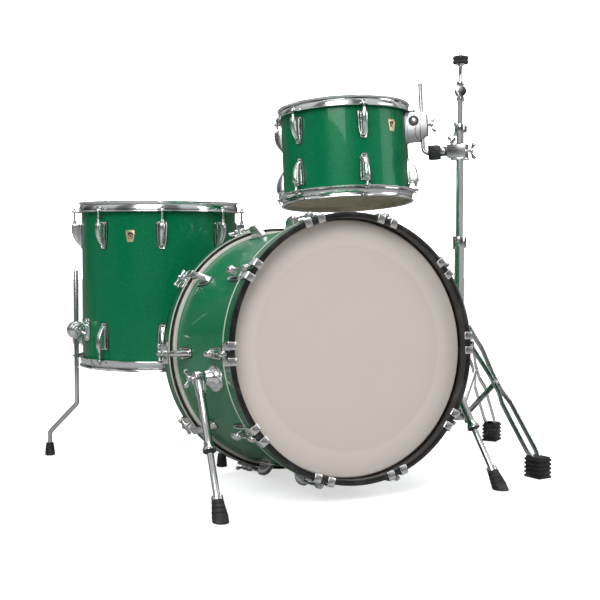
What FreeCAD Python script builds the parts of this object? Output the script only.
"""Three-drum acoustic kit: bass drum, floor tom and a rack tom clamped to a straight cymbal stand.

Every drum is built in its own frame, with its axis on Z and its batter head up, and is then placed in
the kit. The kit stands on z = 0 with the bass drum's front head towards -Y and the player on the +Y
side. All sizes are in millimetres.
"""
import FreeCAD, Part
import math
import os

from FreeCAD import Placement, Rotation, Vector

# ---------------------------------------------------------------- drum sizes
BASS_NOMINAL = 558.8
BASS_DEPTH = 355.6
FLOOR_NOMINAL = 406.4
FLOOR_DEPTH = 406.4
TOM_NOMINAL = 330.2
TOM_DEPTH = 228.6
WRAP_THICKNESS = 1.2
BASS_WALL = 7.0
TOM_WALL = 6.0

# ---------------------------------------------------------------- heads and flesh hoops
FILM = 0.8
FILM_CLEARANCE = 0.4
FLESH_THICKNESS = 2.5
FLESH_HEIGHT = 9.0
BASS_FLESH_THICKNESS = 6.0
BASS_FLESH_HEIGHT = 11.0

# ---------------------------------------------------------------- tom counterhoops
HOOP_STEEL = 2.3
HOOP_RISE = 13.0
HOOP_DROP = 14.0
HOOP_RIM = 5.0
HOOP_FLANGE = 8.0
HOOP_CLEARANCE = 0.6
EAR_RADIUS = 9.0

# ---------------------------------------------------------------- bass hoops and claws
WOOD_HOOP_DEPTH = 40.0
WOOD_HOOP_THICKNESS = 12.0
WOOD_HOOP_CLEARANCE = 3.2
WOOD_HOOP_PROUD = 30.0
CLAW_WIDTH = 50.0
CLAW_PRONG = 17.0
CLAW_STEEL = 3.2
CLAW_REACH = 15.0
CLAW_SKIRT = 34.0
CLAW_BOSS_RADIUS = 6.5
CLAW_SEAT_DROP = 13.0

# ---------------------------------------------------------------- lugs and tension rods
LUG_LENGTH = 68.0
LUG_WIDE = 24.0
LUG_NARROW = 15.0
LUG_PLATE = 4.5
LUG_PROUD = 27.5
BASS_LUG_COUNT = 10
FLOOR_LUG_COUNT = 8
TOM_LUG_COUNT = 6
ROD_RADIUS = 2.8
ROD_CLEARANCE = 0.5
ROD_STANDOFF = 19.0
BASS_ROD_STANDOFF = 23.5
BASS_LUG_INSET = 53.0
FLOOR_LUG_INSET = 40.0
TOM_LUG_INSET = 27.0
WASHER_RADIUS = 7.0
WASHER_THICKNESS = 1.6
KEY_HEAD_SIDE = 6.4
KEY_HEAD_HEIGHT = 9.0
T_BAR_LENGTH = 45.0
T_BAR_RADIUS = 4.0
T_BAR_STEM = 21.0

# ---------------------------------------------------------------- running fits
RUNNING_CLEARANCE = 0.05
SIDE_CLEARANCE = 0.5

# ---------------------------------------------------------------- bass spurs
BASS_TILT_DEG = 4.9
SPUR_AXIS_ANGLE_DEG = 10.6
SPUR_FROM_FRONT_EDGE = 105.0
SPUR_BRACKET_RADIUS = 27.0
SPUR_BRACKET_HEIGHT = 26.0
SPUR_HEAD_RADIUS = 15.0
SPUR_HEAD_THICKNESS = 24.0
SPUR_TUBE_RADIUS = 9.0
SPUR_NECK_RADIUS = 10.5
SPUR_TUBE_LENGTH = 172.0
SPUR_ROD_RADIUS = 7.0
SPUR_COLLAR_RADIUS = 15.0
SPUR_FOOT_RADIUS = 17.0
SPUR_FOOT_HEIGHT = 42.0
SPUR_FOOT_OUT = 340.0
SPUR_FOOT_FORWARD = 59.0

# ---------------------------------------------------------------- floor tom
FLOOR_X = -185.5
FLOOR_Y = 768.5
FLOOR_TOP = 663.0
FLOOR_LUG_ANGLE_DEG = -106.7
LEG_ROD_RADIUS = 6.0
LEG_STANDOFF = 31.5
LEG_BRACKET_Z = 331.0
LEG_TOP = 486.0
LEG_BEND_TOP = 140.0
LEG_BEND_DROP = 80.0
LEG_OFFSET = 80.0
LEG_FOOT_HEIGHT = 33.0
LEG_FOOT_RADIUS = 13.0
LEG_BRACKET_ANGLES_DEG = (185.8, 275.8, 50.8)
LEG_FOOT_ANGLES_DEG = (138.3, 293.6, 50.8)
JAW_RADIUS = 22.0
JAW_THICKNESS = 26.0
JAW_CAP = 3.0

# ---------------------------------------------------------------- rack tom and its arm
TOM_CENTRE = (246.8, 515.9, 784.0)
TOM_TILT_DEG = 5.8
TOM_BRACKET_ANGLE_DEG = -42.0
TOM_BRACKET_Z = 60.0
TOM_BRACKET_HEIGHT = 76.0
TOM_BRACKET_WIDTH = 24.0
ARM_STANDOFF = 42.5
ARM_ROD_RADIUS = 5.5
ARM_RISE = 185.0
ARM_BEND_RADIUS = 16.0
ARM_AXIS_Z = 787.0
TILTER_TO_POLE = 42.0
TILTER_WIDTH = 30.0
TILTER_HEIGHT = 36.0
TONGUE_THICKNESS = 10.0
TONGUE_RADIUS = 12.0
PIN_RADIUS = 4.0
CLAMP_BODY_WIDTH = 34.0
CLAMP_BODY_HEIGHT = 34.0
CLAMP_BACK = 30.0
CLAMP_FRONT = 18.0
SLEEVE_WALL = 2.0
SLEEVE_OVERHANG = 3.0

# ---------------------------------------------------------------- cymbal stand
POLE_X = 465.4
POLE_Y = 302.0
STAND_LEG_ANGLES_DEG = (-83.0, 37.0, 148.0)
STAND_FOOT_RADIUS = 304.0
BASE_TUBE_RADIUS = 12.7
MID_TUBE_RADIUS = 9.5
TOP_TUBE_RADIUS = 6.35
BASE_TUBE_BOTTOM = 100.0
BASE_TUBE_TOP = 557.0
MID_TUBE_TOP = 846.0
TUBE_OVERLAP = 250.0
TOP_TUBE_OVERLAP = 180.0
COLLAR_HEIGHT = 30.0
COLLAR_RADIUS = 20.0
LEG_PIVOT_Z = 340.0
LEG_PIVOT_RADIUS = 30.0
BRACE_PIVOT_Z = 115.0
BRACE_JOINT_RADIUS = 140.0
BRACE_JOINT_Z = 210.0
BAR_WIDTH = 14.0
BAR_THICKNESS = 2.5
BRACE_THICKNESS = 4.0
BOOT_WIDTH = 40.0
BOOT_HEIGHT = 50.0
BOOT_RIBS = 5
BOOT_RIB_SHARE = 0.55
BOOT_RIB_DEPTH = 3.0
BOOT_BACK = 10.0
BOOT_FRONT = 8.0
TILTER_Z = 943.0
CYMBAL_TIP_RADIUS = 4.0
CYMBAL_POST_RADIUS = 4.6
CYMBAL_ROD_TOP = 1050.0
FELT_BOTTOM = 1012.0
FELT_THICKNESS = 10.0
FELT_RADIUS = 20.0

UP = Vector(0, 0, 1)
ALONG_X = Vector(1, 0, 0)
ALONG_Y = Vector(0, 1, 0)
ORIGIN = Vector(0, 0, 0)


# ================================================================ plain shapes
def cylinder(radius, length, base=ORIGIN, axis=UP):
    """A solid cylinder that starts at base and runs along axis."""
    return Part.makeCylinder(radius, length, base, axis)


def rod_between(start, end, radius):
    """A solid round rod from start to end."""
    run = end - start
    return cylinder(radius, run.Length, start, run)


def ring(inner, outer, low, high):
    """A plain tube about Z."""
    height = high - low
    return cylinder(outer, height, Vector(0, 0, low)).cut(cylinder(inner, height, Vector(0, 0, low)))


def block(x_range, y_range, z_range):
    """A box given by its three ranges."""
    size = [pair[1] - pair[0] for pair in (x_range, y_range, z_range)]
    corner = Vector(x_range[0], y_range[0], z_range[0])
    return Part.makeBox(size[0], size[1], size[2], corner)


def turned(profile):
    """A solid of revolution about Z from a closed outline of (radius, z) points."""
    points = [Vector(radius, 0, z) for radius, z in profile]
    face = Part.Face(Part.makePolygon(points + points[:1]))
    return face.revolve(ORIGIN, UP, 360)


def prism_xz(outline, y_low, y_high):
    """An outline of (x, z) points, extruded along Y."""
    points = [Vector(x, y_low, z) for x, z in outline]
    face = Part.Face(Part.makePolygon(points + points[:1]))
    return face.extrude(Vector(0, y_high - y_low, 0))


def prism_yz(outline, x_low, x_high):
    """An outline of (y, z) points, extruded along X."""
    points = [Vector(x_low, y, z) for y, z in outline]
    face = Part.Face(Part.makePolygon(points + points[:1]))
    return face.extrude(Vector(x_high - x_low, 0, 0))


def joined(shapes):
    """One solid from shapes that overlap."""
    return shapes[0].multiFuse(shapes[1:]).removeSplitter()


def moved(shape, placement):
    """A copy of shape, carried by placement."""
    copy = shape.copy()
    copy.Placement = placement.multiply(copy.Placement)
    return copy


def turned_about_z(shape, angle_deg):
    """A copy of shape, turned about Z."""
    return moved(shape, Placement(ORIGIN, Rotation(UP, angle_deg)))


def spread(shape, angles_deg):
    """One copy of shape at each angle about Z."""
    return [turned_about_z(shape, angle) for angle in angles_deg]


def flipped(shapes):
    """The mirror image of each shape in the plane z = 0."""
    return [shape.mirror(ORIGIN, UP) for shape in shapes]


def angles(count, start_deg):
    """Evenly spaced angles round a drum."""
    return [start_deg + 360.0 * k / count for k in range(count)]


def wing_screw(shank_radius, shank_length, wing_span):
    """A wing screw along +X: its shank starts at the origin and its wings stand in the XZ plane."""
    hub_radius = shank_radius + 2.6
    hub_length = 9.0
    hub_start = shank_length
    shank = cylinder(shank_radius, shank_length + hub_length, ORIGIN, ALONG_X)
    hub = cylinder(hub_radius, hub_length, Vector(hub_start, 0, 0), ALONG_X)
    reach = wing_span / 2.0
    sweep = 8.0
    inner = hub_radius * 0.5
    outline = [
        (hub_start + 1.0, inner),
        (hub_start + sweep, reach),
        (hub_start + sweep + 9.0, reach),
        (hub_start + hub_length, inner),
    ]
    upper = prism_xz(outline, -2.0, 2.0)
    lower = upper.mirror(ORIGIN, UP)
    return joined([shank, hub, upper, lower])


# ================================================================ drum parts
class Drum:
    """A drum in its own frame: axis on Z, middle of the shell at the origin, batter head up."""

    def __init__(self, nominal, depth, wall, lug_count, lug_angle, lug_inset, standoff):
        self.radius = nominal / 2.0 + WRAP_THICKNESS
        self.wall = wall
        self.edge = depth / 2.0
        self.lug_angles = angles(lug_count, lug_angle)
        self.lug_top = self.edge - lug_inset
        self.rod_radius = self.radius + standoff
        self.standoff = standoff
        self.skirt_inner = self.radius + FILM_CLEARANCE
        self.skirt_outer = self.skirt_inner + FILM

    def shell(self):
        """The open wooden cylinder."""
        return ring(self.radius - self.wall, self.radius, -self.edge, self.edge)

    def head(self, flesh_thickness, flesh_height, skirt):
        """The upper head: the film cup and the aluminium flesh hoop that rests on its folded lip."""
        top = self.edge + FILM
        lip_top = self.edge - skirt
        flesh_outer = self.skirt_outer + flesh_thickness
        film = turned([
            (0, self.edge),
            (self.skirt_inner, self.edge),
            (self.skirt_inner, lip_top - FILM),
            (flesh_outer, lip_top - FILM),
            (flesh_outer, lip_top),
            (self.skirt_outer, lip_top),
            (self.skirt_outer, top),
            (0, top),
        ])
        flesh = ring(self.skirt_outer, flesh_outer, lip_top, lip_top + flesh_height)
        return [film, flesh]

    def lug(self):
        """One upper lug casting: a keystone plate, wide at the rod end, with a raised body."""
        half = LUG_LENGTH / 2.0
        middle = self.lug_top - half
        sunk = -3.0
        body_reach = self.standoff + LUG_PROUD - ROD_STANDOFF
        side = prism_xz([
            (sunk, -half),
            (LUG_PLATE, -half),
            (body_reach * 0.55, -half * 0.45),
            (body_reach * 0.93, half * 0.2),
            (body_reach, half * 0.6),
            (body_reach - 1.5, half),
            (sunk, half),
        ], -LUG_WIDE, LUG_WIDE)
        narrow_body = LUG_NARROW / 2.0
        wide_body = LUG_WIDE / 2.0 - 1.5
        front = prism_yz([
            (-narrow_body + 2.5, -half),
            (narrow_body - 2.5, -half),
            (wide_body, half),
            (-wide_body, half),
        ], sunk, body_reach + 1.0)
        plate = prism_yz([
            (-LUG_NARROW / 2.0, -half),
            (LUG_NARROW / 2.0, -half),
            (LUG_WIDE / 2.0, half),
            (-LUG_WIDE / 2.0, half),
        ], sunk, LUG_PLATE)
        casting = joined([side.common(front), plate])
        casting.translate(Vector(self.radius, 0, middle))
        return casting.cut(cylinder(self.radius, 4.0 * half, Vector(0, 0, middle - 2.0 * half)))

    def rod(self, seat, t_turn=None):
        """One upper tension rod: it seats at height seat and ends on its lug.

        With t_turn given, in degrees, the rod has a T bar turned that far from the hoop's tangent.
        """
        shaft_top = seat + WASHER_THICKNESS
        shaft = cylinder(ROD_RADIUS, shaft_top - self.lug_top, Vector(0, 0, self.lug_top))
        washer = cylinder(WASHER_RADIUS, WASHER_THICKNESS, Vector(0, 0, seat))
        if t_turn is not None:
            stem = cylinder(ROD_RADIUS + 1.2, T_BAR_STEM, Vector(0, 0, shaft_top))
            bar_z = shaft_top + T_BAR_STEM
            bar = cylinder(T_BAR_RADIUS, T_BAR_LENGTH, Vector(0, -T_BAR_LENGTH / 2.0, bar_z), ALONG_Y)
            bar.rotate(ORIGIN, UP, t_turn)
            top = joined([stem, bar])
        else:
            side = KEY_HEAD_SIDE / 2.0
            top = block((-side, side), (-side, side), (shaft_top, shaft_top + KEY_HEAD_HEIGHT))
        rod = joined([shaft, washer, top])
        rod.translate(Vector(self.rod_radius, 0, 0))
        return rod


def steel_hoop(drum):
    """The upper triple-flanged hoop: skirt with rod ears, shoulder on the flesh hoop, wall and rim."""
    skirt_inner = drum.skirt_outer + FLESH_THICKNESS + HOOP_CLEARANCE
    skirt_outer = skirt_inner + HOOP_STEEL
    wall_inner = drum.skirt_outer + HOOP_CLEARANCE
    wall_outer = wall_inner + HOOP_STEEL
    shoulder = drum.edge - 1.0
    low = drum.edge - HOOP_DROP
    high = drum.edge + HOOP_RISE
    flange_outer = skirt_outer + HOOP_FLANGE
    body = turned([
        (skirt_inner, low),
        (flange_outer, low),
        (flange_outer, low + HOOP_STEEL),
        (skirt_outer, low + HOOP_STEEL),
        (skirt_outer, shoulder + HOOP_STEEL),
        (wall_outer, shoulder + HOOP_STEEL),
        (wall_outer, high - HOOP_STEEL),
        (wall_outer + HOOP_RIM, high - HOOP_STEEL),
        (wall_outer + HOOP_RIM, high),
        (wall_inner, high),
        (wall_inner, shoulder),
        (skirt_inner, shoulder),
    ])
    round_end = cylinder(EAR_RADIUS, HOOP_STEEL, Vector(drum.rod_radius, 0, low))
    bridge = block(
        (skirt_outer - 1.0, drum.rod_radius), (-EAR_RADIUS, EAR_RADIUS), (low, low + HOOP_STEEL)
    )
    hole_base = Vector(drum.rod_radius, 0, low - HOOP_STEEL)
    hole = cylinder(ROD_RADIUS + ROD_CLEARANCE, 3.0 * HOOP_STEEL, hole_base)
    ear = joined([round_end, bridge])
    body = joined([body] + spread(ear, drum.lug_angles))
    for cutter in spread(hole, drum.lug_angles):
        body = body.cut(cutter)
    return body


def wood_hoop(drum):
    """The upper wooden hoop of the bass drum."""
    inner = drum.radius + WOOD_HOOP_CLEARANCE
    high = drum.edge + WOOD_HOOP_PROUD
    return ring(inner, inner + WOOD_HOOP_THICKNESS, high - WOOD_HOOP_DEPTH, high)


def claw(drum):
    """One upper claw: two prongs over the hoop, a web on its outside and a boss for the rod."""
    hoop_outer = drum.radius + WOOD_HOOP_CLEARANCE + WOOD_HOOP_THICKNESS
    high = drum.edge + WOOD_HOOP_PROUD
    bottom = high - CLAW_SKIRT
    inside = hoop_outer + 0.02
    outside = inside + CLAW_STEEL
    flat = math.sqrt(hoop_outer ** 2 - (CLAW_WIDTH / 2.0) ** 2) - CLAW_REACH
    prong_outline = [
        (flat, high),
        (inside, high),
        (inside, bottom),
        (outside, bottom),
        (outside + 2.0, high - 8.0),
        (outside, high + CLAW_STEEL),
        (flat, high + CLAW_STEEL),
    ]
    edge = CLAW_WIDTH / 2.0
    right = prism_xz(prong_outline, edge - CLAW_PRONG, edge)
    left = prism_xz(prong_outline, -edge, CLAW_PRONG - edge)
    seat = high - CLAW_SEAT_DROP
    web = block((inside, outside), (-edge, edge), (bottom, seat))
    boss_low = bottom + 4.0
    boss = cylinder(CLAW_BOSS_RADIUS, seat - boss_low, Vector(drum.rod_radius, 0, boss_low))
    cheek = block((inside, drum.rod_radius), (-CLAW_BOSS_RADIUS, CLAW_BOSS_RADIUS), (boss_low, seat))
    hole = cylinder(ROD_RADIUS + ROD_CLEARANCE, CLAW_SKIRT, Vector(drum.rod_radius, 0, bottom - 2.0))
    return joined([right, left, web, boss, cheek]).cut(hole)


def claw_seat(drum):
    """Height at which a bass drum rod's washer rests on its claw."""
    return drum.edge + WOOD_HOOP_PROUD - CLAW_SEAT_DROP


def hoop_seat(drum):
    """Height at which a tom rod's washer rests on the hoop's ear."""
    return drum.edge - HOOP_DROP + HOOP_STEEL


# ================================================================ bass drum
BASS = Drum(BASS_NOMINAL, BASS_DEPTH, BASS_WALL, BASS_LUG_COUNT, 0.0, BASS_LUG_INSET, BASS_ROD_STANDOFF)
BASS_HOOP_RADIUS = BASS.radius + WOOD_HOOP_CLEARANCE + WOOD_HOOP_THICKNESS
BASS_HALF = BASS.edge + WOOD_HOOP_PROUD
BASS_TILT = math.radians(BASS_TILT_DEG)
BASS_CENTRE = Vector(
    0,
    BASS_HALF * math.cos(BASS_TILT),
    BASS_HOOP_RADIUS * math.cos(BASS_TILT) + BASS_HALF * math.sin(BASS_TILT),
)
BASS_PLACE = Placement(BASS_CENTRE, Rotation(ALONG_X, -90.0 - BASS_TILT_DEG))

# The spur axis runs level along X, through a point on the shell's side near the front.
SPUR_POINT = BASS_PLACE.multVec(Vector(
    BASS.radius * math.cos(math.radians(SPUR_AXIS_ANGLE_DEG)),
    BASS.radius * math.sin(math.radians(SPUR_AXIS_ANGLE_DEG)),
    SPUR_FROM_FRONT_EDGE - BASS.edge,
))
SPUR_BRACKET_END = SPUR_POINT.x + SPUR_BRACKET_HEIGHT
SPUR_HEAD_MIDDLE = SPUR_BRACKET_END + SIDE_CLEARANCE + SPUR_HEAD_THICKNESS / 2.0
SPUR_PIVOT = Vector(SPUR_HEAD_MIDDLE, SPUR_POINT.y, SPUR_POINT.z)
SPUR_TOE = Vector(SPUR_FOOT_OUT, -SPUR_FOOT_FORWARD, 0)
SPUR_RUN = SPUR_TOE - SPUR_PIVOT
SPUR_AXIS = Vector(SPUR_RUN).normalize()


def bass_parts():
    """The bass drum without its spurs."""
    lip = WOOD_HOOP_DEPTH - WOOD_HOOP_PROUD + BASS_FLESH_HEIGHT
    heads = BASS.head(BASS_FLESH_THICKNESS, BASS_FLESH_HEIGHT, lip)
    claws = spread(claw(BASS), BASS.lug_angles)
    lugs = spread(BASS.lug(), BASS.lug_angles)
    key_rods = spread(BASS.rod(claw_seat(BASS)), BASS.lug_angles)
    t_rods = [turned_about_z(BASS.rod(claw_seat(BASS), t_bar_turn(a)), a) for a in BASS.lug_angles]
    hoop = wood_hoop(BASS)
    parts = {
        "bass_shell": [BASS.shell()],
        "bass_batter_head": heads,
        "bass_front_head": flipped(heads),
        "bass_batter_hoop": [hoop],
        "bass_front_hoop": flipped([hoop]),
        "bass_lugs": lugs + flipped(lugs),
        "bass_claws": claws + flipped(claws),
        "bass_front_rods": flipped(key_rods),
        "bass_batter_t_rods": t_rods,
    }
    placed = {name: [moved(s, BASS_PLACE) for s in shapes] for name, shapes in parts.items()}
    placed["bass_spur_brackets"] = mirrored_pair(spur_bracket())
    return placed


def t_bar_turn(angle_deg):
    """Turn of a T bar: along the hoop, but level on the rods nearest the floor, where it would touch."""
    lowness = math.sin(math.radians(angle_deg))
    return 90.0 - angle_deg if lowness > 0.9 else 0.0


def mirrored_pair(shape):
    """A piece on the +X side and its mirror image on the -X side."""
    return [shape, shape.mirror(ORIGIN, ALONG_X)]


def spur_bracket():
    """The domed boss on the shell's +X side that carries the spur's head."""
    start = SPUR_POINT.x - 40.0
    base = Vector(start, SPUR_POINT.y, SPUR_POINT.z)
    foot_flange = cylinder(SPUR_BRACKET_RADIUS, SPUR_POINT.x + 8.0 - start, base, ALONG_X)
    neck_start = Vector(SPUR_POINT.x + 8.0, SPUR_POINT.y, SPUR_POINT.z)
    neck_length = SPUR_BRACKET_HEIGHT - 8.0
    neck = Part.makeCone(SPUR_BRACKET_RADIUS, SPUR_HEAD_RADIUS, neck_length, neck_start, ALONG_X)
    boss = joined([foot_flange, neck])
    drum = moved(cylinder(BASS.radius, BASS_DEPTH, Vector(0, 0, -BASS.edge)), BASS_PLACE)
    return boss.cut(drum)


def spur_parts():
    """The spur on the +X side: its head and tube, its rod, its foot and its wing screw."""
    tube_end = SPUR_PIVOT + SPUR_AXIS * SPUR_TUBE_LENGTH
    foot_top = SPUR_TOE - SPUR_AXIS * (SPUR_FOOT_HEIGHT + 4.0)
    rod_start = SPUR_PIVOT + SPUR_AXIS * (SPUR_HEAD_RADIUS + 8.0)
    head_base = Vector(SPUR_PIVOT.x - SPUR_HEAD_THICKNESS / 2.0, SPUR_PIVOT.y, SPUR_PIVOT.z)
    head = cylinder(SPUR_HEAD_RADIUS, SPUR_HEAD_THICKNESS, head_base, ALONG_X)
    tube = rod_between(SPUR_PIVOT, tube_end, SPUR_TUBE_RADIUS)
    neck = Part.makeCone(SPUR_NECK_RADIUS, SPUR_TUBE_RADIUS, 34.0, SPUR_PIVOT, SPUR_AXIS)
    flare_start = tube_end - SPUR_AXIS * 14.0
    flare = Part.makeCone(SPUR_TUBE_RADIUS, SPUR_COLLAR_RADIUS, 14.0, flare_start, SPUR_AXIS)
    bore = rod_between(rod_start, tube_end + SPUR_AXIS * 2.0, SPUR_ROD_RADIUS + RUNNING_CLEARANCE)
    outer = joined([head, tube, neck, flare]).cut(bore)
    rod = rod_between(rod_start + SPUR_AXIS * 60.0, foot_top, SPUR_ROD_RADIUS)
    lock_ring = rod_between(foot_top - SPUR_AXIS * 6.0, foot_top, SPUR_FOOT_RADIUS - 4.0)
    # The foot is cut level where it meets the floor.
    foot_end = SPUR_TOE + SPUR_AXIS * SPUR_FOOT_RADIUS
    foot = Part.makeCone(SPUR_FOOT_RADIUS - 4.0, SPUR_FOOT_RADIUS, SPUR_FOOT_HEIGHT, foot_top, SPUR_AXIS)
    sole = rod_between(foot_top + SPUR_AXIS * (SPUR_FOOT_HEIGHT - 0.5), foot_end, SPUR_FOOT_RADIUS)
    below = block((-900, 900), (-900, 900), (-200, 0))
    wing = wing_screw(4.0, 6.0, 40.0)
    wing_base = Vector(SPUR_PIVOT.x + SPUR_HEAD_THICKNESS / 2.0, SPUR_PIVOT.y, SPUR_PIVOT.z)
    wing.translate(wing_base)
    return {
        "tube": outer,
        "rod": joined([rod, lock_ring]),
        "foot": joined([foot, sole]).cut(below),
        "wing": wing,
    }


# ================================================================ floor tom
FLOOR = Drum(
    FLOOR_NOMINAL, FLOOR_DEPTH, TOM_WALL, FLOOR_LUG_COUNT, FLOOR_LUG_ANGLE_DEG, FLOOR_LUG_INSET,
    ROD_STANDOFF,
)
FLOOR_CENTRE = Vector(FLOOR_X, FLOOR_Y, FLOOR_TOP - HOOP_RISE - FLOOR.edge)
FLOOR_PLACE = Placement(FLOOR_CENTRE, Rotation())
LEG_CIRCLE = FLOOR.radius + LEG_STANDOFF


def tom_parts(drum, prefix, plain_lug_angles):
    """Shell, heads, hoops, lugs and rods of a tom; the bottom set mirrors the top set."""
    heads = drum.head(FLESH_THICKNESS, FLESH_HEIGHT, FLESH_HEIGHT + 1.0)
    hoop = steel_hoop(drum)
    top_lugs = spread(drum.lug(), plain_lug_angles)
    bottom_lugs = flipped(spread(drum.lug(), drum.lug_angles))
    rods = spread(drum.rod(hoop_seat(drum)), drum.lug_angles)
    return {
        prefix + "_shell": [drum.shell()],
        prefix + "_batter_head": heads,
        prefix + "_bottom_head": flipped(heads),
        prefix + "_hoops": [hoop] + flipped([hoop]),
        prefix + "_lugs": top_lugs + bottom_lugs,
        prefix + "_rods": rods + flipped(rods),
    }


def leg_bracket():
    """The bracket at angle 0: a plate on the shell, an arm and a round jaw bored for the leg rod."""
    plate = block((-3, 5), (-17, 17), (-28, 28))
    arm = block((4, LEG_STANDOFF), (-10, 10), (-16, 16))
    jaw_base = Vector(LEG_STANDOFF, -JAW_THICKNESS / 2.0, 0)
    jaw = cylinder(JAW_RADIUS, JAW_THICKNESS, jaw_base, ALONG_Y)
    cap_base = jaw_base - Vector(0, JAW_CAP, 0)
    cap = cylinder(JAW_RADIUS - 6.0, JAW_THICKNESS + 2.0 * JAW_CAP, cap_base, ALONG_Y)
    bore = cylinder(LEG_ROD_RADIUS + RUNNING_CLEARANCE, 80, Vector(LEG_STANDOFF, 0, -40))
    body = joined([plate, arm, jaw, cap]).cut(bore)
    body.translate(Vector(FLOOR.radius, 0, 0))
    return body.cut(cylinder(FLOOR.radius, 100, Vector(0, 0, -50)))


def leg_wing():
    """The wing screw on the round face of a leg bracket's jaw at angle 0."""
    wing = wing_screw(3.5, 5.0, 34.0)
    wing.rotate(ORIGIN, ALONG_X, 35)
    wing.rotate(ORIGIN, UP, 90)
    wing.translate(Vector(LEG_CIRCLE, JAW_THICKNESS / 2.0 + JAW_CAP, 0))
    return wing


def leg_points(bracket_angle, foot_angle):
    """Corner points of a leg's centre line, from its top down to the floor."""
    at = math.radians(bracket_angle)
    out = math.radians(foot_angle)
    x = FLOOR_X + LEG_CIRCLE * math.cos(at)
    y = FLOOR_Y + LEG_CIRCLE * math.sin(at)
    foot_x = x + LEG_OFFSET * math.cos(out)
    foot_y = y + LEG_OFFSET * math.sin(out)
    return [
        Vector(x, y, LEG_TOP),
        Vector(x, y, LEG_BEND_TOP),
        Vector(foot_x, foot_y, LEG_BEND_TOP - LEG_BEND_DROP),
        Vector(foot_x, foot_y, 0),
    ]


def bent_rod(points, radius, bend):
    """A round rod along straight runs joined by tangent arcs of centre-line radius bend."""
    edges = []
    start = points[0]
    for before, corner, after in zip(points, points[1:], points[2:]):
        to_before = (before - corner).normalize()
        to_after = (after - corner).normalize()
        turn = math.pi - to_before.getAngle(to_after)
        setback = bend * math.tan(turn / 2.0)
        first = corner + to_before * setback
        last = corner + to_after * setback
        inward = (to_before + to_after).normalize()
        middle = corner + inward * (bend / math.cos(turn / 2.0) - bend)
        edges.append(Part.makeLine(start, first))
        edges.append(Part.Arc(first, middle, last).toShape())
        start = last
    edges.append(Part.makeLine(start, points[-1]))
    path = Part.Wire(edges)
    section = Part.Wire(Part.makeCircle(radius, points[0], points[1] - points[0]))
    return path.makePipeShell([section], True, True)


def floor_parts():
    """The floor tom with its brackets, legs and feet."""
    parts = tom_parts(FLOOR, "floor_tom", FLOOR.lug_angles)
    parts = {name: [moved(s, FLOOR_PLACE) for s in shapes] for name, shapes in parts.items()}
    at_bracket = Placement(Vector(FLOOR_X, FLOOR_Y, LEG_BRACKET_Z), Rotation())
    brackets = spread(leg_bracket(), LEG_BRACKET_ANGLES_DEG)
    wings = spread(leg_wing(), LEG_BRACKET_ANGLES_DEG)
    parts["floor_tom_leg_brackets"] = [moved(s, at_bracket) for s in brackets]
    parts["floor_tom_leg_wing_screws"] = [moved(s, at_bracket) for s in wings]
    for index, (bracket_angle, foot_angle) in enumerate(zip(LEG_BRACKET_ANGLES_DEG, LEG_FOOT_ANGLES_DEG)):
        points = leg_points(bracket_angle, foot_angle)
        toe = points[-1]
        foot = joined([
            Part.makeCone(LEG_FOOT_RADIUS, LEG_FOOT_RADIUS - 3.0, LEG_FOOT_HEIGHT, toe, UP),
            cylinder(LEG_FOOT_RADIUS, 6.0, toe),
        ])
        socket_floor = toe + UP * 8.0
        foot = foot.cut(cylinder(LEG_ROD_RADIUS, LEG_FOOT_HEIGHT, socket_floor))
        points[-1] = socket_floor
        name = "floor_tom_leg_%d" % (index + 1)
        parts[name] = [bent_rod(points, LEG_ROD_RADIUS, 2.4 * LEG_ROD_RADIUS)]
        parts[name + "_foot"] = [foot]
    return parts


# ================================================================ rack tom, arm and clamp
TOM = Drum(
    TOM_NOMINAL, TOM_DEPTH, TOM_WALL, TOM_LUG_COUNT, TOM_BRACKET_ANGLE_DEG, TOM_LUG_INSET, ROD_STANDOFF
)
TOM_TURN = Rotation(ALONG_X, -TOM_TILT_DEG)
TOM_PLACE = Placement(Vector(*TOM_CENTRE), TOM_TURN)
ARM_LOCAL = Vector(
    (TOM.radius + ARM_STANDOFF) * math.cos(math.radians(TOM_BRACKET_ANGLE_DEG)),
    (TOM.radius + ARM_STANDOFF) * math.sin(math.radians(TOM_BRACKET_ANGLE_DEG)),
    0,
)
POLE = Vector(POLE_X, POLE_Y, 0)
TOM_UP = TOM_TURN.multVec(UP)

# The arm's upright runs along the tom's axis; its other part stands square to that, towards the pole.
ARM_FOOT = TOM_PLACE.multVec(ARM_LOCAL)
ARM_CORNER = ARM_FOOT + TOM_UP * ((ARM_AXIS_Z - ARM_FOOT.z) / TOM_UP.z)
TO_POLE = Vector(POLE_X - ARM_CORNER.x, POLE_Y - ARM_CORNER.y, 0)
CLAMP_X = Vector(TO_POLE).normalize()
ARM_SLOPE = -CLAMP_X.dot(TOM_UP) / TOM_UP.z
ARM_DIRECTION = (CLAMP_X + UP * ARM_SLOPE).normalize()
CLAMP_Z = ARM_AXIS_Z + ARM_SLOPE * (TO_POLE.Length - TILTER_TO_POLE)
CLAMP_HEADING_DEG = math.degrees(math.atan2(CLAMP_X.y, CLAMP_X.x))
CLAMP_PLACE = Placement(Vector(POLE_X, POLE_Y, CLAMP_Z), Rotation(UP, CLAMP_HEADING_DEG))
TILTER_PIVOT = CLAMP_PLACE.multVec(Vector(-TILTER_TO_POLE, 0, 0))
TILTER_RISE_DEG = math.degrees(math.atan(ARM_SLOPE))
TILTER_TURN = Rotation(UP, CLAMP_HEADING_DEG).multiply(Rotation(ALONG_Y, -TILTER_RISE_DEG))
TILTER_PLACE = Placement(TILTER_PIVOT, TILTER_TURN)


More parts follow.
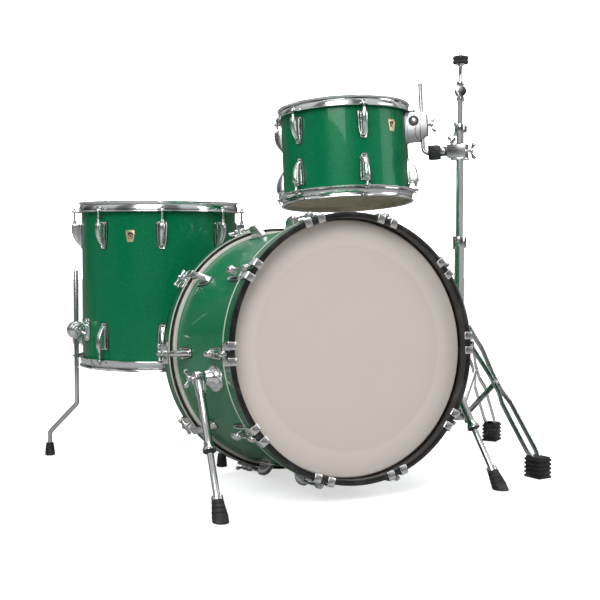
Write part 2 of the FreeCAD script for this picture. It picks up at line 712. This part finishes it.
def tom_bracket():
    """The tom's bracket at angle 0. It takes the place of one upper lug, so it carries that lug's rod."""
    half = TOM_BRACKET_HEIGHT / 2.0
    side = TOM_BRACKET_WIDTH / 2.0
    outer = ARM_STANDOFF + 14.0
    plate = block((-3, 6), (-side - 5.0, side + 5.0), (-half, half))
    body = prism_xz([
        (-3, -half),
        (outer - 20.0, -half),
        (outer - 6.0, -half + 13.0),
        (outer, -half + 13.0),
        (outer, half - 8.0),
        (outer - 12.0, half),
        (-3, half),
    ], -side, side)
    bracket = joined([plate, body])
    bracket.translate(Vector(TOM.radius, 0, TOM_BRACKET_Z))
    bracket = bracket.cut(cylinder(TOM.radius, TOM_DEPTH, Vector(0, 0, -TOM.edge)))
    arm_base = Vector(TOM.radius + ARM_STANDOFF, 0, 0)
    arm_bore = cylinder(ARM_ROD_RADIUS + RUNNING_CLEARANCE, TOM_DEPTH, arm_base)
    rod_bore = cylinder(ROD_RADIUS + ROD_CLEARANCE, TOM_DEPTH, Vector(TOM.rod_radius, 0, TOM.lug_top))
    return bracket.cut(arm_bore).cut(rod_bore)


def tom_bracket_wing():
    """The wing screw on the outer face of the tom's bracket at angle 0."""
    wing = wing_screw(4.0, 7.0, 42.0)
    wing.translate(Vector(TOM.radius + ARM_STANDOFF + 14.0, 0, TOM_BRACKET_Z + 4.0))
    return wing


def rack_tom_parts():
    """The rack tom with its bracket and wing screw."""
    parts = tom_parts(TOM, "rack_tom", TOM.lug_angles[1:])
    parts["rack_tom_bracket"] = [turned_about_z(tom_bracket(), TOM_BRACKET_ANGLE_DEG)]
    parts["rack_tom_bracket_wing"] = [turned_about_z(tom_bracket_wing(), TOM_BRACKET_ANGLE_DEG)]
    return {name: [moved(s, TOM_PLACE) for s in shapes] for name, shapes in parts.items()}


def tilter():
    """The arm's black head in its own frame: rod socket behind, fork and pivot pin in front."""
    side = TILTER_WIDTH / 2.0
    tall = TILTER_HEIGHT / 2.0
    ear_radius = TONGUE_RADIUS - 1.5
    gap = TONGUE_THICKNESS / 2.0 + SIDE_CLEARANCE
    back = TILTER_TO_POLE - TO_POLE.Length + ARM_BEND_RADIUS + 1.0
    front = -TONGUE_RADIUS - 1.5
    socket_end = (back + front) / 2.0 + 4.0
    body = block((back, front), (-side, side), (-tall, tall))
    pieces = [body]
    for low, high in ((-side, -gap), (gap, side)):
        pieces.append(cylinder(ear_radius, high - low, Vector(0, low, 0), ALONG_Y))
        pieces.append(block((front, 0), (low, high), (-ear_radius, ear_radius)))
    pieces.append(cylinder(PIN_RADIUS, 2.0 * side, Vector(0, -side, 0), ALONG_Y))
    mouth = Vector(back - 5.0, 0, 0)
    socket = cylinder(ARM_ROD_RADIUS + RUNNING_CLEARANCE, socket_end - mouth.x, mouth, ALONG_X)
    return joined(pieces).cut(socket), socket_end


def clamp():
    """The clamp body in its own frame, pole on Z, with the tongue that the tilter's fork straddles."""
    side = CLAMP_BODY_WIDTH / 2.0
    tall = CLAMP_BODY_HEIGHT / 2.0
    half_tongue = TONGUE_THICKNESS / 2.0
    body = block((-CLAMP_BACK, CLAMP_FRONT), (-side, side), (-tall, tall))
    pivot = -TILTER_TO_POLE
    tongue_end = cylinder(TONGUE_RADIUS, TONGUE_THICKNESS, Vector(pivot, -half_tongue, 0), ALONG_Y)
    tongue = block((pivot, -CLAMP_BACK + 1.0), (-half_tongue, half_tongue), (-TONGUE_RADIUS, TONGUE_RADIUS))
    pin_hole = cylinder(PIN_RADIUS + RUNNING_CLEARANCE, CLAMP_BODY_WIDTH, Vector(pivot, -side, 0), ALONG_Y)
    pole_hole = cylinder(sleeve_outer() + RUNNING_CLEARANCE, 4.0 * tall, Vector(0, 0, -2.0 * tall))
    return joined([body, tongue_end, tongue]).cut(pin_hole).cut(pole_hole)


def sleeve_outer():
    """Outer radius of the nylon sleeve between the pole and the clamp."""
    return MID_TUBE_RADIUS + RUNNING_CLEARANCE + SLEEVE_WALL


def arm_parts():
    """The L-shaped arm, its tilter, and the clamp with its sleeve and screws."""
    head, socket_end = tilter()
    tall = CLAMP_BODY_HEIGHT / 2.0
    rod_end = TILTER_PIVOT + ARM_DIRECTION * socket_end
    points = [ARM_CORNER + TOM_UP * ARM_RISE, ARM_CORNER, rod_end]
    sleeve_half = tall + SLEEVE_OVERHANG
    sleeve = ring(MID_TUBE_RADIUS + RUNNING_CLEARANCE, sleeve_outer(), -sleeve_half, sleeve_half)
    arm_wing = wing_screw(3.5, 4.0, 34.0)
    arm_wing.rotate(ORIGIN, ALONG_Y, -90)
    arm_wing.rotate(ORIGIN, UP, 75)
    arm_wing.translate(Vector(8.0 - CLAMP_BACK, 0, tall))
    clamp_wing = wing_screw(4.0, 8.0, 44.0)
    clamp_wing.translate(Vector(CLAMP_FRONT, 0, 0))
    return {
        "tom_arm": [bent_rod(points, ARM_ROD_RADIUS, ARM_BEND_RADIUS)],
        "tom_tilter": [moved(head, TILTER_PLACE)],
        "tom_clamp": [moved(clamp(), CLAMP_PLACE), moved(arm_wing, CLAMP_PLACE)],
        "tom_clamp_sleeve": [moved(sleeve, CLAMP_PLACE)],
        "tom_clamp_wing": [moved(clamp_wing, CLAMP_PLACE)],
    }


# ================================================================ cymbal stand
LEG_RUN = BRACE_JOINT_RADIUS - LEG_PIVOT_RADIUS
LEG_FALL = LEG_PIVOT_Z - BRACE_JOINT_Z
LEG_SPREAD_DEG = math.degrees(math.atan2(LEG_RUN, LEG_FALL))
BRACE_SPREAD_DEG = math.degrees(math.atan2(LEG_RUN, BRACE_JOINT_Z - BRACE_PIVOT_Z))
LEG_SPREAD = math.radians(LEG_SPREAD_DEG)
BOOT_RADIUS_IN = LEG_PIVOT_RADIUS + (LEG_PIVOT_Z - BOOT_HEIGHT) * math.tan(LEG_SPREAD)
LEG_LENGTH = (LEG_PIVOT_Z - BOOT_HEIGHT + 22.0) / math.cos(LEG_SPREAD)
LEG_TO_JOINT = math.hypot(LEG_RUN, LEG_FALL)
BRACE_LENGTH = math.hypot(LEG_RUN, BRACE_JOINT_Z - BRACE_PIVOT_Z)
EAR_HALF = 8.5
BRACE_SLOT_HALF = BRACE_THICKNESS / 2.0 + SIDE_CLEARANCE
TILTER_AXIS_DEG = 64.0


def leg_bar():
    """One flat bar of a leg in the leg's own frame: pivot at the origin, down Z, bowed along X."""
    top = EAR_HALF + SIDE_CLEARANCE
    pinch = BRACE_SLOT_HALF + 1.5
    joint = -LEG_TO_JOINT
    course = [
        (top, 8.0),
        (top, -24.0),
        (top + 4.0, -70.0),
        (pinch, joint + 26.0),
        (pinch, joint - 26.0),
        (pinch + 9.0, joint - 62.0),
        (pinch + 9.0, 44.0 - LEG_LENGTH),
        (pinch + 2.0, -LEG_LENGTH),
    ]
    outside = [(x + BAR_THICKNESS, z) for x, z in reversed(course)]
    return prism_xz(course + outside, -BAR_WIDTH / 2.0, BAR_WIDTH / 2.0)


def stand_leg():
    """A leg: two bowed bars and the rivets that tie them at the pivot, the joint and the foot."""
    bar = leg_bar()
    other = bar.mirror(ORIGIN, ALONG_X)
    outer = EAR_HALF + SIDE_CLEARANCE + BAR_THICKNESS
    pinch = BRACE_SLOT_HALF + 1.5 + BAR_THICKNESS
    pieces = [bar, other]
    foot_z = -LEG_LENGTH + 4.0
    pieces.append(block((-BRACE_SLOT_HALF - 4.0, BRACE_SLOT_HALF + 4.0), (-6, 6), (-LEG_LENGTH, foot_z)))
    for z, reach in ((0.0, outer), (-LEG_TO_JOINT, pinch)):
        pieces.append(cylinder(4.5, 2.0, Vector(reach - 0.2, 0, z), ALONG_X))
        pieces.append(cylinder(4.5, 2.0, Vector(-reach - 1.8, 0, z), ALONG_X))
    return joined(pieces)


def stand_brace():
    """A brace in its own frame: pivot at the origin, running up Z to the leg's joint."""
    half = BRACE_THICKNESS / 2.0
    bar = block((-half, half), (-BAR_WIDTH / 2.0, BAR_WIDTH / 2.0), (0, BRACE_LENGTH))
    foot = cylinder(BAR_WIDTH / 2.0, BRACE_THICKNESS, Vector(-half, 0, 0), ALONG_X)
    tip = cylinder(BAR_WIDTH / 2.0, BRACE_THICKNESS, Vector(-half, 0, BRACE_LENGTH), ALONG_X)
    return joined([bar, foot, tip])


def boot():
    """A ribbed rubber boot at angle 0, standing on the floor round the end of a leg."""
    near = BOOT_RADIUS_IN - BOOT_BACK
    far = STAND_FOOT_RADIUS + BOOT_FRONT
    side = BOOT_WIDTH / 2.0
    pieces = [block((near, far), (BOOT_RIB_DEPTH - side, side - BOOT_RIB_DEPTH), (0, BOOT_HEIGHT))]
    pitch = BOOT_HEIGHT / BOOT_RIBS
    for k in range(BOOT_RIBS):
        low = k * pitch
        pieces.append(block((near - 2.0, far + 2.0), (-side, side), (low, low + pitch * BOOT_RIB_SHARE)))
    return joined(pieces)


def leg_place(angle_deg):
    """Placement of a leg's own frame."""
    at = math.radians(angle_deg)
    pivot = Vector(
        POLE_X + LEG_PIVOT_RADIUS * math.cos(at), POLE_Y + LEG_PIVOT_RADIUS * math.sin(at), LEG_PIVOT_Z
    )
    turn = Rotation(UP, angle_deg - 90.0).multiply(Rotation(ALONG_X, LEG_SPREAD_DEG))
    return Placement(pivot, turn)


def brace_place(angle_deg):
    """Placement of a brace's own frame."""
    at = math.radians(angle_deg)
    pivot = Vector(
        POLE_X + LEG_PIVOT_RADIUS * math.cos(at), POLE_Y + LEG_PIVOT_RADIUS * math.sin(at), BRACE_PIVOT_Z
    )
    turn = Rotation(UP, angle_deg - 90.0).multiply(Rotation(ALONG_X, -BRACE_SPREAD_DEG))
    return Placement(pivot, turn)


def tube_clamp(bore, radius, low, high):
    """A tube's top collar about Z with its split block."""
    collar = ring(bore, radius, low, high)
    lug_block = block((radius - 4.0, radius + 10.0), (-8, 8), (low + 3.0, high - 3.0))
    slit = block((bore - 1.0, radius + 12.0), (-1.0, 1.0), (low - 1.0, high + 1.0))
    return joined([collar, lug_block]).cut(cylinder(bore, high - low, Vector(0, 0, low))).cut(slit)


def clamp_screw(radius, middle):
    """The wing screw that closes a tube clamp, along Y beside the split block."""
    screw = wing_screw(3.5, 5.0, 34.0)
    screw.rotate(ORIGIN, UP, 90)
    screw.translate(Vector(radius + 4.0, 8.0, middle))
    return screw


def base_tube_parts():
    """The base tube with its lower hub and its top clamp, and the clamp's wing screw."""
    bore = MID_TUBE_RADIUS + RUNNING_CLEARANCE
    tube = ring(bore, BASE_TUBE_RADIUS, BASE_TUBE_BOTTOM, BASE_TUBE_TOP)
    plug = cylinder(BASE_TUBE_RADIUS, 5.0, Vector(0, 0, BASE_TUBE_BOTTOM))
    hub_top = BRACE_PIVOT_Z + BAR_WIDTH
    hub = ring(bore, COLLAR_RADIUS, BASE_TUBE_BOTTOM, hub_top)
    ear = block(
        (BASE_TUBE_RADIUS + 2.0, LEG_PIVOT_RADIUS + BAR_WIDTH / 2.0),
        (-EAR_HALF, EAR_HALF),
        (BRACE_PIVOT_Z - BAR_WIDTH / 2.0, BRACE_PIVOT_Z + BAR_WIDTH / 2.0),
    )
    slot = block(
        (BASE_TUBE_RADIUS + 2.0, LEG_PIVOT_RADIUS + BAR_WIDTH),
        (-BRACE_SLOT_HALF, BRACE_SLOT_HALF),
        (BASE_TUBE_BOTTOM - 1.0, hub_top + 1.0),
    )
    clamp_low = BASE_TUBE_TOP - 15.0
    clamp_high = BASE_TUBE_TOP + 15.0
    top = turned_about_z(tube_clamp(bore, BASE_TUBE_RADIUS + 4.0, clamp_low, clamp_high), 30)
    body = joined([tube, plug, hub, top] + spread(ear, STAND_LEG_ANGLES_DEG))
    for cutter in spread(slot, STAND_LEG_ANGLES_DEG):
        body = body.cut(cutter)
    screw = turned_about_z(clamp_screw(BASE_TUBE_RADIUS + 4.0, BASE_TUBE_TOP), 30)
    return [body, screw]


def leg_collar_parts():
    """The collar that slides on the base tube and carries the legs, and its wing screw."""
    bore = BASE_TUBE_RADIUS + RUNNING_CLEARANCE
    half = COLLAR_HEIGHT / 2.0
    low = LEG_PIVOT_Z - half
    collar = ring(bore, COLLAR_RADIUS, low, LEG_PIVOT_Z + half)
    ear = block(
        (bore + 2.0, LEG_PIVOT_RADIUS + BAR_WIDTH / 2.0),
        (-EAR_HALF, EAR_HALF),
        (low + 7.0, LEG_PIVOT_Z + half - 7.0),
    )
    screw = wing_screw(3.5, 5.0, 34.0)
    screw.translate(Vector(COLLAR_RADIUS, 0, LEG_PIVOT_Z))
    screw_angle = (STAND_LEG_ANGLES_DEG[1] + STAND_LEG_ANGLES_DEG[2]) / 2.0
    return [joined([collar] + spread(ear, STAND_LEG_ANGLES_DEG)), turned_about_z(screw, screw_angle)]


def mid_tube_parts():
    """The middle tube with its top clamp, and the clamp's wing screw."""
    bore = TOP_TUBE_RADIUS + RUNNING_CLEARANCE
    tube = ring(bore, MID_TUBE_RADIUS, BASE_TUBE_TOP - TUBE_OVERLAP, MID_TUBE_TOP)
    radius = MID_TUBE_RADIUS + 4.0
    top = tube_clamp(bore, radius, MID_TUBE_TOP - 8.0, MID_TUBE_TOP + 14.0)
    screw = clamp_screw(radius, MID_TUBE_TOP + 3.0)
    return [turned_about_z(joined([tube, top]), 30), turned_about_z(screw, 30)]


def tilter_half(side):
    """One toothed disc of the cymbal tilter and its neck: side -1 is the lower half, +1 the upper."""
    radius = 14.0
    thickness = 9.0
    gap = SIDE_CLEARANCE / 2.0
    start = gap if side > 0 else -gap - thickness
    disc = cylinder(radius, thickness, Vector(start, 0, TILTER_Z), ALONG_X)
    neck_span = sorted((TILTER_Z + side * 7.0, TILTER_Z + side * (radius + 11.0)))
    neck = block((start, start + thickness), (-6, 6), neck_span)
    bridge_span = sorted((TILTER_Z + side * (radius + 1.0), TILTER_Z + side * (radius + 11.0)))
    bridge = cylinder(9.5, bridge_span[1] - bridge_span[0], Vector(0, 0, bridge_span[0]))
    return turned_about_z(joined([disc, neck, bridge]), TILTER_AXIS_DEG)


def stand_parts():
    """The whole stand, from the boots to the cymbal rod."""
    top_rod_end = TILTER_Z - 20.0
    top_rod_start = MID_TUBE_TOP - TOP_TUBE_OVERLAP
    top_rod = cylinder(TOP_TUBE_RADIUS, top_rod_end - top_rod_start, Vector(0, 0, top_rod_start))
    post_start = TILTER_Z + 20.0
    tip_start = FELT_BOTTOM + 2.0 * FELT_THICKNESS
    post = cylinder(CYMBAL_POST_RADIUS, tip_start - post_start, Vector(0, 0, post_start))
    tip = cylinder(CYMBAL_TIP_RADIUS, CYMBAL_ROD_TOP - post_start, Vector(0, 0, post_start))
    cup = Part.makeCone(7.0, 12.0, 5.0, Vector(0, 0, FELT_BOTTOM - 5.0), UP)
    felts = []
    for k in range(2):
        low = FELT_BOTTOM + k * FELT_THICKNESS
        felts.append(ring(CYMBAL_POST_RADIUS, FELT_RADIUS, low, low + FELT_THICKNESS))
    at_pole = Placement(POLE, Rotation())
    local = {
        "stand_base_tube": base_tube_parts(),
        "stand_leg_collar": leg_collar_parts(),
        "stand_middle_tube": mid_tube_parts(),
        "stand_top_rod": [joined([top_rod, tilter_half(-1)])],
        "stand_cymbal_post": [joined([post, tip, cup, tilter_half(1)])],
        "stand_cymbal_felts": felts,
    }
    parts = {name: [moved(s, at_pole) for s in shapes] for name, shapes in local.items()}
    for index, angle in enumerate(STAND_LEG_ANGLES_DEG):
        leg = moved(stand_leg(), leg_place(angle))
        rubber = moved(turned_about_z(boot(), angle), at_pole).cut(leg)
        parts["stand_leg_%d" % (index + 1)] = [leg]
        parts["stand_foot_%d" % (index + 1)] = [rubber]
        parts["stand_brace_%d" % (index + 1)] = [moved(stand_brace(), brace_place(angle))]
    return parts


# ================================================================ the kit
def kit_parts():
    """Every node of the kit, as lists of solids, before the origin is moved under its middle."""
    parts = {}
    parts.update(bass_parts())
    right = spur_parts()
    for piece, shape in right.items():
        if piece != "wing":
            parts["spur_right_" + piece] = [shape]
            parts["spur_left_" + piece] = [shape.mirror(ORIGIN, ALONG_X)]
    parts["spur_wing_screws"] = mirrored_pair(right["wing"])
    parts.update(floor_parts())
    parts.update(rack_tom_parts())
    parts.update(arm_parts())
    parts.update(stand_parts())
    return parts


def kit_offset(parts):
    """The move that puts the origin under the middle of the kit's bounding box."""
    box = FreeCAD.BoundBox()
    for shapes in parts.values():
        for shape in shapes:
            box.add(shape.optimalBoundingBox(False, False))
    return Vector(-(box.XMin + box.XMax) / 2.0, -(box.YMin + box.YMax) / 2.0, -box.ZMin)


def main():
    """Builds the kit and writes one STEP file per node."""
    parts = kit_parts()
    offset = kit_offset(parts)
    os.makedirs("parts", exist_ok=True)
    for name, shapes in parts.items():
        solids = []
        for shape in shapes:
            for solid in shape.Solids:
                solid.translate(offset)
                solids.append(solid)
        Part.makeCompound(solids).exportStep("parts/%s.step" % name)
    print("offset", offset.x, offset.y, offset.z)
    print("nodes", len(parts))


if __name__ == "__main__":
    main()
